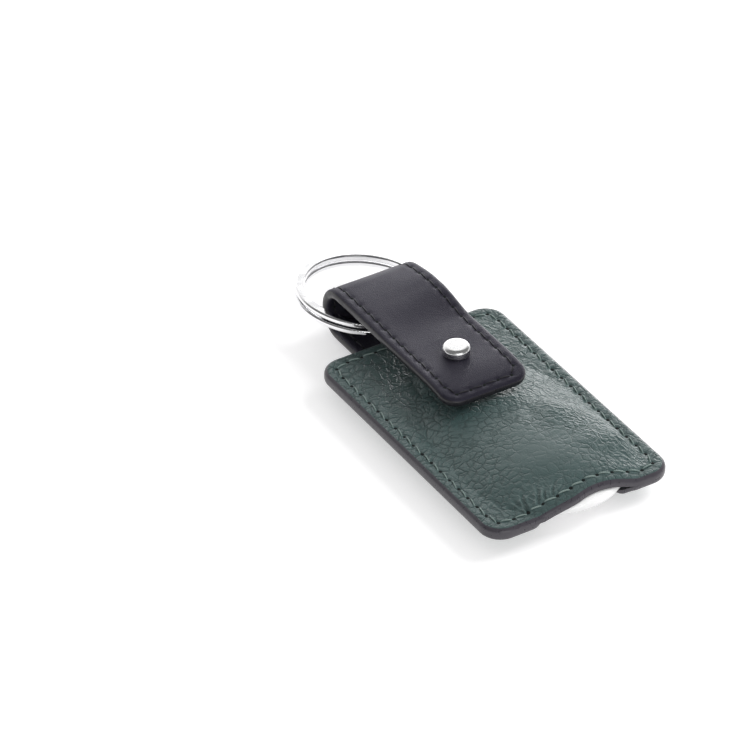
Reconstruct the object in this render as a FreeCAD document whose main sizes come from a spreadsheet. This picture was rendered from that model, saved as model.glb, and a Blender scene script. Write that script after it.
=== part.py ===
import FreeCAD, Part
import math
import os
from types import SimpleNamespace

import Sketcher

# A leather holder for a round tracker tag, lying on its back. A bulged pouch of two lined leather
# panels holds the tracker. A strap that is sewn to the back panel loops through a split ring and
# folds over the front, where a snap closes it.
# X runs across the pouch, +Y towards the ring and +Z up. The origin is on the flat of the back
# panel, on the pouch's middle line, level with the tracker's axis.

DRIVING_SIZES = {
    # leather pouch
    "pouch_width": 45.0,
    "pouch_length": 70.0,
    "pouch_corner_radius": 5.0,
    "leather_thickness": 1.0,
    "lining_thickness": 0.5,
    "seam_width": 3.2,
    "seam_blend": 1.8,
    "notch_width": 20.0,
    "notch_depth": 1.1,
    "notch_offset": 5.0,
    "back_notch_width": 26.0,
    "back_notch_depth": 7.0,
    "back_notch_offset": 0.5,
    "front_swell_reach": 46.0,
    "back_swell_reach": 33.0,
    "swell_margin": 3.0,
    "rest_flat_depth": 0.35,
    # tracker and its place in the pocket
    "tracker_diameter": 32.0,
    "tracker_thickness": 7.4,
    "tracker_dome_radius": 45.0,
    "tracker_wall": 1.0,
    "tracker_offset": 1.5,
    "tracker_to_notch_end": 15.4,
    "pocket_clearance": 0.25,
    "cover_diameter": 23.2,
    "cover_thickness": 0.5,
    "cover_clearance": 0.2,
    "seal_thickness": 0.3,
    "seal_clearance": 0.1,
    "cell_diameter": 20.0,
    "cell_thickness": 1.6,
    "cell_clearance": 0.4,
    "cell_below_middle": 0.4,
    "cell_to_cover": 0.04,
    "contact_thickness": 0.3,
    "contact_radius": 1.2,
    "contact_circle": 7.0,
    "board_thickness": 0.6,
    "board_hole_radius": 3.0,
    "board_clearance": 0.3,
    "magnet_radius": 4.2,
    "magnet_height": 1.4,
    "coil_gap": 0.5,
    "coil_width": 0.7,
    "coil_height": 1.4,
    # strap
    "strap_width": 21.0,
    "strap_face_thickness": 1.2,
    "strap_lining_thickness": 1.0,
    "strap_corner_radius": 4.0,
    "strap_anchor_length": 18.0,
    "strap_anchor_blend": 3.6,
    "loop_radius": 6.2,
    "loop_reach": 17.6,
    "flap_reach_from_notch_end": 35.6,
    "flap_tip_run": 10.0,
    "flap_tip_bend_radius": 38.0,
    # snap
    "snap_from_notch_end": 49.4,
    "snap_pad_radius": 6.5,
    "snap_pad_blend": 3.0,
    "cap_diameter": 6.0,
    "cap_height": 2.2,
    "cap_edge_radius": 0.35,
    "cap_crown_radius": 0.9,
    "shank_radius": 0.9,
    "rivet_clearance": 0.05,
    "leather_hole_clearance": 0.1,
    "socket_radius": 4.0,
    "socket_gap": 0.3,
    "socket_roof_thickness": 0.58,
    "stud_flange_radius": 3.5,
    "stud_flange_thickness": 0.5,
    "stud_neck_radius": 1.45,
    "stud_neck_height": 0.6,
    "stud_head_radius": 1.8,
    "stud_head_height": 1.2,
    "stud_clearance": 0.35,
    "rivet_flange_radius": 3.2,
    "rivet_flange_thickness": 0.45,
    "spring_wire_radius": 0.2,
    "spring_room": 0.1,
    "spring_reach": 0.05,
    "spring_gap_angle": 50.0,
    # split ring
    "ring_diameter": 31.0,
    "ring_wire_width": 2.2,
    "ring_wire_height": 1.25,
    "ring_wire_edge_radius": 0.35,
    "ring_coil_gap": 0.44,
    "ring_crossover_angle": 30.0,
    "ring_end_gap_angle": 3.0,
    "ring_tilt": 6.5,
    "ring_offset": 0.6,
    "ring_past_pouch": 17.3,
    "ring_height": 6.6,
}

doc = FreeCAD.newDocument("tracker_tag_holder")
sheet = doc.addObject("Spreadsheet::Sheet", "sizes")
for row, (alias, number) in enumerate(DRIVING_SIZES.items(), start=1):
    sheet.set(f"A{row}", alias)
    sheet.set(f"B{row}", str(number))
    sheet.setAlias(f"B{row}", alias)
doc.recompute()


class Size:
    """A size in millimetres or degrees, with the expression that binds it to the sheet."""

    def __init__(self, value, text):
        self.value = value
        self.text = text

    def join(self, sign, other, value):
        return Size(value, f"({self.text} {sign} {other.text})")

    def __add__(self, other):
        other = as_size(other)
        return self.join("+", other, self.value + other.value)

    def __sub__(self, other):
        other = as_size(other)
        return self.join("-", other, self.value - other.value)

    def __mul__(self, other):
        other = as_size(other)
        return self.join("*", other, self.value * other.value)

    def __truediv__(self, other):
        other = as_size(other)
        return self.join("/", other, self.value / other.value)

    def __neg__(self):
        return as_size(0) - self

    def root(self):
        return Size(math.sqrt(self.value), f"sqrt({self.text})")

    def least(self, other):
        return Size(min(self.value, other.value), f"min({self.text}; {other.text})")


def as_size(number):
    return number if isinstance(number, Size) else Size(float(number), str(number))


s = SimpleNamespace(**{alias: Size(float(sheet.get(alias)), f"sizes.{alias}") for alias in DRIVING_SIZES})
ZERO = as_size(0)
TURN_LEFT = 1
TURN_RIGHT = -1

# Places that several pieces share.
half_width = s.pouch_width / 2
notch_end = -s.tracker_to_notch_end
pouch_top = notch_end + s.pouch_length
panel_thickness = s.leather_thickness + s.lining_thickness
pocket_half_height = s.tracker_thickness / 2 + s.pocket_clearance
seam_plane = pocket_half_height + panel_thickness - s.rest_flat_depth
snap_y = notch_end + s.snap_from_notch_end
strap_thickness = s.strap_face_thickness + s.strap_lining_thickness
strap_bottom = seam_plane - panel_thickness - strap_thickness
loop_y = pouch_top + s.loop_reach - s.loop_radius
loop_z = strap_bottom + s.loop_radius
flap_top = loop_z + s.loop_radius
flap_underside = flap_top - strap_thickness
strap_anchor = pouch_top - s.strap_anchor_length
tracker_radius = s.tracker_diameter / 2
stud_height = s.stud_flange_thickness + s.stud_neck_height + s.stud_head_height
socket_roof = stud_height + s.stud_clearance
snap_gap = socket_roof + s.socket_roof_thickness
stud_seat = flap_underside - snap_gap

pieces = {}


def keep(name, obj):
    """Register a finished sub-part under the name of its file."""
    obj.Label = name
    pieces[name] = obj
    return obj


def bind(obj, **sizes):
    for name, value in sizes.items():
        obj.setExpression(name, as_size(value).text)


def place(obj, x=ZERO, y=ZERO, z=ZERO):
    for axis, value in zip("xyz", (x, y, z)):
        obj.setExpression(f".Placement.Base.{axis}", as_size(value).text)


def cylinder(name, radius, height, x=ZERO, y=ZERO, z=ZERO):
    obj = doc.addObject("Part::Cylinder", name)
    bind(obj, Radius=radius, Height=height)
    place(obj, x, y, z)
    return obj


def boolean(kind, name, base, tool):
    obj = doc.addObject(f"Part::{kind}", name)
    obj.Base = base
    obj.Tool = tool
    return obj


def arc_between(start, end, radius, turn):
    """A circular arc of less than a half circle, bending left or right on its way to the end."""
    middle = (start + end) * 0.5
    chord = end - start
    rise = math.sqrt(radius ** 2 - (chord.Length / 2) ** 2)
    sideways = FreeCAD.Vector(-chord.y, chord.x, 0).normalize()
    centre = middle + sideways * (rise * turn)
    first, last = (start, end) if turn == TURN_LEFT else (end, start)
    angles = [math.atan2(point.y - centre.y, point.x - centre.x) for point in (first, last)]
    circle = Part.Circle(centre, FreeCAD.Vector(0, 0, 1), radius)
    return Part.ArcOfCircle(circle, *angles)


def draw_profile(body, plane_role, corners):
    """A closed sketch. Each corner is x, y and the way to the next one: a line, or (radius, turn)."""
    sketch = body.newObject("Sketcher::SketchObject", f"{body.Name}_profile")
    plane = next(item for item in body.Origin.OriginFeatures if item.Role == plane_role)
    sketch.AttachmentSupport = [(plane, "")]
    sketch.MapMode = "FlatFace"
    points = [FreeCAD.Vector(corner[0].value, corner[1].value, 0) for corner in corners]
    heads = []
    tails = []
    for index, corner in enumerate(corners):
        start = points[index]
        end = points[(index + 1) % len(points)]
        bend = corner[2] if len(corner) > 2 else None
        if bend is None:
            sketch.addGeometry(Part.LineSegment(start, end))
        else:
            sketch.addGeometry(arc_between(start, end, bend[0].value, bend[1]))
        backwards = bend is not None and bend[1] == TURN_RIGHT
        heads.append(2 if backwards else 1)
        tails.append(1 if backwards else 2)
    for index, corner in enumerate(corners):
        following = (index + 1) % len(corners)
        sketch.addConstraint(
            Sketcher.Constraint("Coincident", index, tails[index], following, heads[following]))
        for axis, value in zip("XY", corner[:2]):
            number = sketch.addConstraint(
                Sketcher.Constraint(f"Distance{axis}", -1, 1, index, heads[index], value.value))
            sketch.setExpression(f"Constraints[{number}]", value.text)
        if len(corner) > 2:
            radius = corner[2][0]
            number = sketch.addConstraint(Sketcher.Constraint("Radius", index, radius.value))
            sketch.setExpression(f"Constraints[{number}]", radius.text)
    return sketch


def padded(name, plane_role, corners, length, symmetric=True):
    """A body made by pushing a closed profile out from its plane."""
    body = doc.addObject("PartDesign::Body", name)
    pad = body.newObject("PartDesign::Pad", f"{name}_pad")
    pad.Profile = draw_profile(body, plane_role, corners)
    pad.SideType = "Symmetric" if symmetric else "One side"
    bind(pad, Length=length)
    return body


def turned(name, corners, x=ZERO, y=ZERO, z=ZERO):
    """A body made by turning a profile of radius and height about its own upright axis."""
    body = doc.addObject("PartDesign::Body", name)
    sketch = draw_profile(body, "XZ_Plane", corners)
    revolution = body.newObject("PartDesign::Revolution", f"{name}_revolution")
    revolution.Profile = sketch
    revolution.ReferenceAxis = (sketch, ["V_Axis"])
    revolution.Angle = 360
    place(body, x, y, z)
    return body


def round_upright_edges(body, radius, wanted):
    """Round the edges of a body's last feature whose middle point satisfies the test."""
    doc.recompute()
    base = body.Tip
    names = [f"Edge{number}" for number, edge in enumerate(base.Shape.Edges, start=1)
             if wanted(edge.CenterOfMass, edge)]
    fillet = body.newObject("PartDesign::Fillet", f"{body.Name}_fillet")
    fillet.Base = (base, names)
    bind(fillet, Radius=radius)
    return fillet


# Formed leather
def smooth(share):
    share = min(max(share, 0.0), 1.0)
    return share * share * (3 - 2 * share)


# The flat seam and the blend beside it keep their widths where the tracker leaves room for both.
seam_room = half_width - tracker_radius - s.tracker_offset
seam_share = as_size(1).least(seam_room / (s.seam_width + s.seam_blend))
seam_width = seam_share * s.seam_width
seam_blend = seam_share * s.seam_blend


def swell(x, y, reach_along):
    """How far the pocket stands off the seam plane at a place on the pouch."""
    reach = tracker_radius.value + s.swell_margin.value
    across = x - s.tracker_offset.value
    along = y if y < 0 else y * reach / reach_along
    dome = max(0.0, 1 - (across ** 2 + along ** 2) / reach ** 2)
    inside_seam = half_width.value - seam_width.value - abs(x)
    return pocket_half_height.value * dome * smooth(inside_seam / seam_blend.value)


def back_swell(x, y):
    """The back lies flat where the strap is sewn to it."""
    before_strap = smooth((strap_anchor.value - y) / s.strap_anchor_blend.value)
    return swell(x, y, s.back_swell_reach.value) * before_strap


def front_swell(x, y):
    """The front lies flat where the snap stud clamps it, at the height that the closed snap needs."""
    from_snap = math.hypot(x, y - snap_y.value)
    clamped = smooth((s.snap_pad_radius.value + s.snap_pad_blend.value - from_snap) / s.snap_pad_blend.value)
    seat = (stud_seat - panel_thickness - seam_plane).value
    free = swell(x, y, s.front_swell_reach.value)
    return free + clamped * (seat - free)


POLE_SPACING = 1.6
SLAB_MARGIN = 1.0
SAME_PLACE = 1e-6
CUBIC = 3


def clamped_knots(low, high):
    spans = math.ceil((high - low) / POLE_SPACING)
    knots = [low + (high - low) * number / spans for number in range(spans + 1)]
    repeats = [CUBIC + 1] + [1] * (spans - 1) + [CUBIC + 1]
    full = [knot for knot, count in zip(knots, repeats) for _ in range(count)]
    poles = [sum(full[number + 1:number + 1 + CUBIC]) / CUBIC for number in range(len(full) - CUBIC - 1)]
    return knots, repeats, poles


def formed_slab(name, height_at, side, offset, thickness):
    """A sheet of even upright thickness that follows the pocket's swell, above or below the seam."""
    side_reach = half_width.value + SLAB_MARGIN
    near_reach = notch_end.value - SLAB_MARGIN
    far_reach = pouch_top.value + SLAB_MARGIN
    x_knots, x_repeats, x_poles = clamped_knots(-side_reach, side_reach)
    y_knots, y_repeats, y_poles = clamped_knots(near_reach, far_reach)
    poles = [[FreeCAD.Vector(x, y, seam_plane.value + side * (height_at(x, y) + offset)) for y in y_poles]
             for x in x_poles]
    surface = Part.BSplineSurface()
    surface.buildFromPolesMultsKnots(
        poles, x_repeats, y_repeats, x_knots, y_knots, False, False, CUBIC, CUBIC)
    obj = doc.addObject("Part::Feature", name)
    obj.Shape = surface.toShape().extrude(FreeCAD.Vector(0, 0, side * thickness))
    return obj


CORNER_SHARE = 0.9


def pouch_outline(name, notch_middle, notch_width, notch_depth):
    """The cut-out shape of a panel and its lining: a rounded oblong with a bell-shaped notch in one end."""
    left = -half_width
    right = half_width
    beside_notch = half_width - notch_middle - notch_width / 2
    corner = s.pouch_corner_radius.least(beside_notch * CORNER_SHARE)
    quarter_run = notch_width / 4
    half_rise = notch_depth / 2
    bell = (quarter_run * quarter_run + half_rise * half_rise) / notch_depth
    inflection = notch_end + half_rise
    corners = [
        (left + corner, notch_end),
        (notch_middle - notch_width / 2, notch_end, (bell, TURN_LEFT)),
        (notch_middle - quarter_run, inflection, (bell, TURN_RIGHT)),
        (notch_middle + quarter_run, inflection, (bell, TURN_LEFT)),
        (notch_middle + notch_width / 2, notch_end),
        (right - corner, notch_end, (corner, TURN_LEFT)),
        (right, notch_end + corner),
        (right, pouch_top - corner, (corner, TURN_LEFT)),
        (right - corner, pouch_top),
        (left + corner, pouch_top, (corner, TURN_LEFT)),
        (left, pouch_top - corner),
        (left, notch_end + corner, (corner, TURN_LEFT)),
    ]
    return padded(name, "XY_Plane", corners, flap_top, symmetric=False)


FRONT = 1
BACK = -1
# The front is cut a little lower over the tracker. The back has a deeper notch, for a thumb.
outlines = {
    FRONT: pouch_outline("front_outline", s.notch_offset, s.notch_width, s.notch_depth),
    BACK: pouch_outline("back_outline", s.back_notch_offset, s.back_notch_width, s.back_notch_depth),
}
stud_hole = cylinder("stud_hole", s.shank_radius + s.leather_hole_clearance, flap_top, y=snap_y)
layers = [
    ("front_lining", front_swell, FRONT, 0.0, s.lining_thickness.value),
    ("front_panel", front_swell, FRONT, s.lining_thickness.value, s.leather_thickness.value),
    ("back_lining", back_swell, BACK, 0.0, s.lining_thickness.value),
    ("back_panel", back_swell, BACK, s.lining_thickness.value, s.leather_thickness.value),
]
for layer_name, height_at, side, offset, thickness in layers:
    slab = formed_slab(f"{layer_name}_slab", height_at, side, offset, thickness)
    cut_out = boolean("Common", f"{layer_name}_cut_out", slab, outlines[side])
    if side == FRONT:
        cut_out = boolean("Cut", f"{layer_name}_punched", cut_out, stud_hole)
    keep(layer_name, cut_out)


# Strap
def strap_back_profile(outer, thickness):
    """The run that is sewn to the back panel, and the lower quarter of the loop."""
    radius = s.loop_radius - outer
    inner_radius = radius - thickness
    bottom = strap_bottom + outer
    return [
        (strap_anchor, bottom),
        (loop_y, bottom, (radius, TURN_LEFT)),
        (loop_y + radius, loop_z),
        (loop_y + inner_radius, loop_z, (inner_radius, TURN_RIGHT)),
        (loop_y, bottom + thickness),
        (strap_anchor, bottom + thickness),
    ]


def strap_flap_profile(outer, thickness):
    """The upper quarter of the loop, the flap over the front, and its tip bent down."""
    radius = s.loop_radius - outer
    inner_radius = radius - thickness
    top = flap_top - outer
    tip = notch_end + s.flap_reach_from_notch_end
    bend_start = tip + s.flap_tip_run
    bend_z = flap_top - s.flap_tip_bend_radius
    slope = s.flap_tip_run / s.flap_tip_bend_radius
    upright = (as_size(1) - slope * slope).root()
    bend = s.flap_tip_bend_radius - outer
    inner_bend = bend - thickness
    return [
        (loop_y + radius, loop_z, (radius, TURN_LEFT)),
        (loop_y, top),
        (bend_start, top, (bend, TURN_LEFT)),
        (bend_start - bend * slope, bend_z + bend * upright),
        (bend_start - inner_bend * slope, bend_z + inner_bend * upright, (inner_bend, TURN_RIGHT)),
        (bend_start, top - thickness),
        (loop_y, top - thickness, (inner_radius, TURN_RIGHT)),
        (loop_y + inner_radius, loop_z),
    ]


def strap_layer(name, corners):
    """One layer of the strap, with its free end's two corners rounded."""
    body = padded(name, "YZ_Plane", corners, s.strap_width)
    doc.recompute()
    free_end = min(vertex.Point.y for vertex in body.Tip.Shape.Vertexes)
    across = s.strap_width.value / 2
    near = s.strap_corner_radius.value / 2

    def at_free_corner(middle, edge):
        on_side = abs(abs(middle.x) - across) < SAME_PLACE
        return on_side and edge.Length < near and middle.y - free_end < near

    round_upright_edges(body, s.strap_corner_radius, at_free_corner)
    return body


cap_hole = cylinder("cap_hole", s.shank_radius + s.leather_hole_clearance, strap_thickness * 2,
                    y=snap_y, z=flap_underside - strap_thickness / 2)
strap_layers = [
    ("face", ZERO, s.strap_face_thickness),
    ("lining", s.strap_face_thickness, s.strap_lining_thickness),
]
for layer_name, outer, thickness in strap_layers:
    keep(f"strap_back_{layer_name}",
         strap_layer(f"strap_back_{layer_name}_layer", strap_back_profile(outer, thickness)))
    flap_layer = strap_layer(f"strap_flap_{layer_name}_layer", strap_flap_profile(outer, thickness))
    keep(f"strap_flap_{layer_name}", boolean("Cut", f"strap_flap_{layer_name}_punched", flap_layer, cap_hole))

# Snap: the cap and the socket are riveted together through the flap, and the stud and its rivet
# clamp the front panel and its lining.
socket_bottom = s.stud_flange_thickness + s.socket_gap
head_bevel = s.stud_head_height / 3
bore = s.shank_radius + s.rivet_clearance

keep("snap_stud", turned("snap_stud_body", [
    (bore, ZERO),
    (s.stud_flange_radius, ZERO),
    (s.stud_flange_radius, s.stud_flange_thickness),
    (s.stud_neck_radius, s.stud_flange_thickness),
    (s.stud_neck_radius, s.stud_flange_thickness + s.stud_neck_height),
    (s.stud_head_radius, s.stud_flange_thickness + s.stud_neck_height + head_bevel),
    (s.stud_head_radius, stud_height - head_bevel),
    (s.stud_neck_radius, stud_height),
    (ZERO, stud_height),
    (ZERO, stud_height - s.stud_flange_thickness),
    (bore, stud_height - s.stud_flange_thickness),
], y=snap_y, z=stud_seat))

keep("snap_stud_rivet", turned("snap_stud_rivet_body", [
    (ZERO, -panel_thickness - s.rivet_flange_thickness),
    (s.rivet_flange_radius, -panel_thickness - s.rivet_flange_thickness),
    (s.rivet_flange_radius, -panel_thickness),
    (s.shank_radius, -panel_thickness),
    (s.shank_radius, stud_height - s.stud_flange_thickness - s.rivet_clearance),
    (ZERO, stud_height - s.stud_flange_thickness - s.rivet_clearance),
], y=snap_y, z=stud_seat))

socket_bore = s.stud_head_radius + s.stud_clearance
spring_z = socket_bottom + s.spring_wire_radius * 2
spring_groove = socket_bore + s.spring_wire_radius * 2
groove_half = s.spring_wire_radius + s.spring_room
keep("snap_socket", turned("snap_socket_body", [
    (socket_bore, socket_bottom),
    (s.socket_radius, socket_bottom),
    (s.socket_radius, snap_gap),
    (bore, snap_gap),
    (bore, socket_roof),
    (socket_bore, socket_roof),
    (socket_bore, spring_z + groove_half),
    (spring_groove, spring_z + groove_half),
    (spring_groove, spring_z - groove_half),
    (socket_bore, spring_z - groove_half),
], y=snap_y, z=stud_seat))

spring = doc.addObject("Part::Torus", "snap_spring_ring")
bind(spring, Radius1=socket_bore + s.spring_wire_radius - s.spring_reach, Radius2=s.spring_wire_radius,
     Angle3=as_size(360) - s.spring_gap_angle)
place(spring, y=snap_y, z=stud_seat + spring_z)
keep("snap_spring", spring)

cap_radius = s.cap_diameter / 2
keep("snap_cap", turned("snap_cap_body", [
    (ZERO, socket_roof - snap_gap - strap_thickness + s.rivet_clearance),
    (s.shank_radius, socket_roof - snap_gap - strap_thickness + s.rivet_clearance),
    (s.shank_radius, ZERO),
    (cap_radius - s.cap_edge_radius, ZERO, (s.cap_edge_radius, TURN_LEFT)),
    (cap_radius, s.cap_edge_radius),
    (cap_radius, s.cap_height - s.cap_crown_radius, (s.cap_crown_radius, TURN_LEFT)),
    (cap_radius - s.cap_crown_radius, s.cap_height),
    (ZERO, s.cap_height),
], y=snap_y, z=flap_top))

# Tracker: a lens of two domes with a round rim. Heights are from its middle plane.
dome = s.tracker_dome_radius
tracker_half = s.tracker_thickness / 2
dome_drop = dome - tracker_half
rim = (dome * dome - dome_drop * dome_drop - tracker_radius * tracker_radius) / ((dome - tracker_radius) * 2)
rim_radius = dome * (tracker_radius - rim) / (dome - rim)
rim_height = dome * dome_drop / (dome - rim) - dome_drop


def dome_height(radius, wall=ZERO):
    """Height of the dome, or of its inner face, at a distance from the tracker's axis."""
    inner = dome - wall
    return (inner * inner - radius * radius).root() - dome_drop


def in_tracker(name, corners):
    return keep(name, turned(f"{name}_body", corners, s.tracker_offset, ZERO, seam_plane))


def inner_dome_reach(height):
    """How far the dome's inner face reaches at a height."""
    inner = dome - s.tracker_wall
    level = height + dome_drop
    return (inner * inner - level * level).root()


shell_inside = (rim_radius - s.tracker_wall).least(inner_dome_reach(ZERO))


def inside_reach(height):
    """How far the shell's inside reaches at a height: to its dome, and no further than its side."""
    return shell_inside.least(inner_dome_reach(height))


in_tracker("tracker_shell", [
    (ZERO, tracker_half, (dome, TURN_RIGHT)),
    (rim_radius, rim_height, (rim, TURN_RIGHT)),
    (rim_radius, -rim_height),
    (shell_inside, -rim_height),
    (shell_inside, dome_height(shell_inside, s.tracker_wall), (dome - s.tracker_wall, TURN_LEFT)),
    (ZERO, tracker_half - s.tracker_wall),
])

cover_radius = s.cover_diameter / 2
cover_hole = cover_radius + s.cover_clearance
cell_radius = s.cell_diameter / 2
cell_hole = cell_radius + s.cell_clearance
board_underside = s.contact_thickness - s.cell_below_middle
cover_rim = -dome_height(cover_radius) + s.cover_thickness
seal_bottom = cover_rim + s.seal_clearance
ledge = seal_bottom + s.seal_thickness
base_spigot = inside_reach(board_underside) - s.cover_clearance
in_tracker("tracker_base", [
    (rim_radius, -rim_height, (dome, TURN_RIGHT)),
    (cover_hole, -dome_height(cover_hole)),
    (cover_hole, ledge),
    (cell_hole, ledge),
    (cell_hole, board_underside),
    (base_spigot, board_underside),
    (base_spigot, -rim_height),
])

in_tracker("cover_seal", [
    (cell_hole, seal_bottom),
    (cover_hole, seal_bottom),
    (cover_hole, ledge),
    (cell_hole, ledge),
])

cover_inside = cover_radius - s.cover_thickness
cover_floor = -dome_height(cover_inside, s.cover_thickness)
cover_dish = turned("battery_cover_dish", [
    (ZERO, -tracker_half, (dome, TURN_LEFT)),
    (cover_radius, -dome_height(cover_radius)),
    (cover_radius, cover_rim),
    (cover_inside, cover_rim),
    (cover_inside, cover_floor, (dome - s.cover_thickness, TURN_RIGHT)),
    (ZERO, -tracker_half + s.cover_thickness),
], s.tracker_offset, ZERO, seam_plane)

cell_bottom = seam_plane - s.cell_below_middle - s.cell_thickness
cell_room = cylinder("cell_room", cell_radius + s.cell_to_cover, s.cell_thickness, s.tracker_offset,
                     z=cell_bottom - s.cell_to_cover)
keep("battery_cover", boolean("Cut", "battery_cover_seat", cover_dish, cell_room))
keep("coin_cell", cylinder("coin_cell_can", cell_radius, s.cell_thickness, s.tracker_offset, z=cell_bottom))

CONTACT_COUNT = 3
contacts = []
for number in range(CONTACT_COUNT):
    turn = 2 * math.pi * number / CONTACT_COUNT
    contacts.append(cylinder(
        f"battery_contact_{number + 1}", s.contact_radius, s.contact_thickness,
        s.tracker_offset + s.contact_circle * math.cos(turn), s.contact_circle * math.sin(turn),
        seam_plane - s.cell_below_middle))
contact_group = doc.addObject("Part::Compound", "battery_contact_group")
contact_group.Links = contacts
keep("battery_contacts", contact_group)

board_top = board_underside + s.board_thickness
board_radius = inside_reach(board_top) - s.board_clearance
in_tracker("circuit_board", [
    (s.board_hole_radius, board_underside),
    (board_radius, board_underside),
    (board_radius, board_top),
    (s.board_hole_radius, board_top),
])

keep("speaker_magnet", cylinder("speaker_magnet_disc", s.magnet_radius, s.magnet_height, s.tracker_offset,
                                z=seam_plane + board_top))

coil_inside = s.magnet_radius + s.coil_gap
coil_outside = coil_inside + s.coil_width
coil_top = dome_height(coil_outside, s.tracker_wall)
in_tracker("speaker_coil", [
    (coil_inside, coil_top - s.coil_height),
    (coil_outside, coil_top - s.coil_height),
    (coil_outside, coil_top),
    (coil_inside, coil_top),
])


# Split ring: a flat wire wound twice, that crosses from the lower coil to the upper one at one place.
def wire_section(low):
    """The wire's section with rounded edges, standing on the X axis above the given height."""
    edge = s.ring_wire_edge_radius.value
    sag = edge * (1 - math.sqrt(0.5))
    right = s.ring_diameter.value / 2
    left = right - s.ring_wire_width.value
    high = low + s.ring_wire_height.value
    corners = [(right, low, -1, 1), (right, high, -1, -1), (left, high, 1, -1), (left, low, 1, 1)]
    rounded = []
    for x, z, inward, upward in corners:
        beside = FreeCAD.Vector(x + inward * edge, 0, z)
        middle = FreeCAD.Vector(x + inward * sag, 0, z + upward * sag)
        above = FreeCAD.Vector(x, 0, z + upward * edge)
        forwards = inward * upward < 0
        rounded.append((beside, middle, above) if forwards else (above, middle, beside))
    edges = []
    for number, (first, middle, last) in enumerate(rounded):
        following = rounded[(number + 1) % len(rounded)][0]
        edges.append(Part.Arc(first, middle, last).toShape())
        edges.append(Part.LineSegment(last, following).toShape())
    return Part.Wire(edges)


def split_ring():
    height = s.ring_wire_height.value
    rise = height + s.ring_coil_gap.value
    crossing = s.ring_crossover_angle.value
    coil_angle = 360 - crossing - s.ring_end_gap_angle.value
    upright = FreeCAD.Vector(0, 0, 1)
    centre = FreeCAD.Vector(0, 0, 0)
    section = wire_section(-rise / 2 - height / 2)
    lower = Part.Face(section).revolve(centre, upright, -coil_angle)
    raised = section.translated(upright * rise).rotated(centre, upright, crossing)
    upper = Part.Face(raised).revolve(centre, upright, coil_angle)
    middle_radius = (s.ring_diameter - s.ring_wire_width).value / 2
    helix = Part.makeHelix(rise * 360 / crossing, rise, middle_radius)
    helix.translate(upright * (-rise / 2))
    sweep = Part.BRepOffsetAPI.MakePipeShell(Part.Wire(helix.Edges))
    sweep.setBiNormalMode(upright)
    sweep.add(section)
    sweep.build()
    sweep.makeSolid()
    ring = lower.fuse([sweep.shape(), upper]).removeSplitter()

    def level(turn):
        return rise * (min(max(turn / crossing, 0), 1) - 0.5)

    doubled = range(math.ceil(-coil_angle), math.floor(crossing + coil_angle - 360) + 1)
    least_gap = min(level(turn + 360) - level(turn) for turn in doubled) - height
    print("least gap between the ring's coils", round(least_gap, 3), "mm")
    return ring.Solids[0]


ring = doc.addObject("Part::Feature", "split_ring_wire")
ring.Shape = split_ring()
lean = FreeCAD.Rotation(FreeCAD.Vector(0, 1, 0), s.ring_tilt.value)
hide_crossover = FreeCAD.Rotation(FreeCAD.Vector(0, 0, 1), -90 - s.ring_crossover_angle.value / 2)
ring_y = pouch_top + s.ring_past_pouch
ring_centre = FreeCAD.Vector(s.ring_offset.value, ring_y.value, s.ring_height.value)
ring.Placement = FreeCAD.Placement(ring_centre, lean * hide_crossover)
keep("split_ring", ring)

# Check and write every piece.
doc.recompute()
for obj in doc.Objects:
    if "Invalid" in obj.State or "Error" in obj.State:
        raise RuntimeError(f"{obj.Label} failed: {obj.State}")
for name, obj in pieces.items():
    if obj.Shape.isNull() or not obj.Shape.isValid():
        raise RuntimeError(f"{name} has no valid shape")

os.makedirs("parts", exist_ok=True)
for name, obj in pieces.items():
    obj.Shape.exportStep(f"parts/{name}.step")
    print(name, len(obj.Shape.Solids), "solid", round(obj.Shape.Volume, 2), "mm3")
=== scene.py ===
import math

import bpy
import numpy as np
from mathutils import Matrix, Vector
from mathutils.geometry import delaunay_2d_cdt


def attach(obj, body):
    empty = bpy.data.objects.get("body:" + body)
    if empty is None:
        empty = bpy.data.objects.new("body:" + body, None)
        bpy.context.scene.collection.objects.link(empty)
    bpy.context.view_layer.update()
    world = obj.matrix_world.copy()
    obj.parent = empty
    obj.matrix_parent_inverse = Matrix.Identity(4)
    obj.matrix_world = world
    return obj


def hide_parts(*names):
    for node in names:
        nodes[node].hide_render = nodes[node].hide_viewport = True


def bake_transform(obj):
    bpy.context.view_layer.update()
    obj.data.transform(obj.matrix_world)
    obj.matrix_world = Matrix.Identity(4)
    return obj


# The looks of a leather holder for a round tracker tag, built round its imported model.
# Lengths are in millimetres, and the meshes are scaled to metres as they are made.
# Materials, floor, lamps and camera are in metres.
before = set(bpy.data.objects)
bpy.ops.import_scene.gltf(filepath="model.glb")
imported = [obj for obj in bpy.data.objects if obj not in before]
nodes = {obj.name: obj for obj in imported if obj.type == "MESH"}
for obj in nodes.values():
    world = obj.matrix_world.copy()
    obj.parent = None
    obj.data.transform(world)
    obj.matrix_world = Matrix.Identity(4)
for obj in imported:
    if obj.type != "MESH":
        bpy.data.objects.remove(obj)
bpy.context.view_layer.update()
scene = bpy.context.scene
rng = np.random.default_rng(7)
MM = 0.001

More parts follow.
